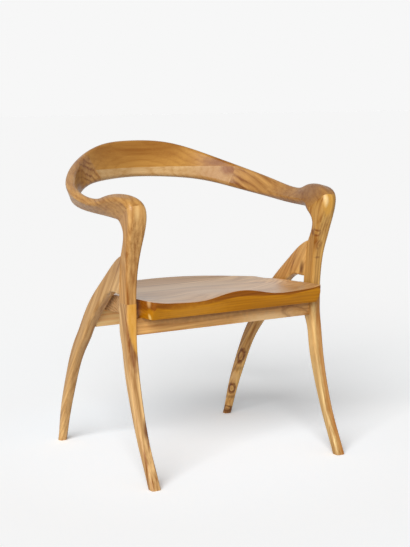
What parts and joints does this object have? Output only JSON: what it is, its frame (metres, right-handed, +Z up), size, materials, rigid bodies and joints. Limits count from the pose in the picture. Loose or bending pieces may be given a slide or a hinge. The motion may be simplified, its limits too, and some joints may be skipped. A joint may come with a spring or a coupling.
{
  "type": "armchair",
  "caption": "Sculpted solid teak open armchair: one flowing band forms back, arms and knuckles, on splayed curved legs, with a dished saddle seat",
  "frame": {"origin": "on the floor, midway between left and right and between front and rear", "axes": "+Z up, the sitter faces -Y, +X is to the right of someone looking at the chair from the front"},
  "size_m": [0.657, 0.6234, 0.8148],
  "materials": {
    "teak_frame": "satin",
    "teak_dark": "satin",
    "teak_pale": "satin",
    "teak_seat": "satin",
    "teak_rail": "satin",
    "beech_dowel": "matt",
    "screw_steel": "zinc plated"
  },
  "bodies": {
    "root": {"back_rail_upper": "teak_dark", "back_rail_lower": "teak_pale", "arm_left": "teak_frame", "arm_right": "teak_frame", "post_left": "teak_frame", "post_right": "teak_frame", "front_leg_left": "teak_frame", "front_leg_right": "teak_frame", "rear_leg_left": "teak_frame", "rear_leg_right": "teak_frame", "seat_board_front": "teak_seat", "seat_board_second": "teak_seat", "seat_board_middle": "teak_seat", "seat_board_fourth": "teak_seat", "seat_board_rear": "teak_seat", "front_rail": "teak_rail", "rear_rail": "teak_rail", "arm_butt_dowels": "beech_dowel", "mitre_dowels": "beech_dowel", "post_foot_dowels": "beech_dowel", "rear_leg_dowels": "beech_dowel", "seat_screws": "screw_steel"}
  },
  "joints": []
}
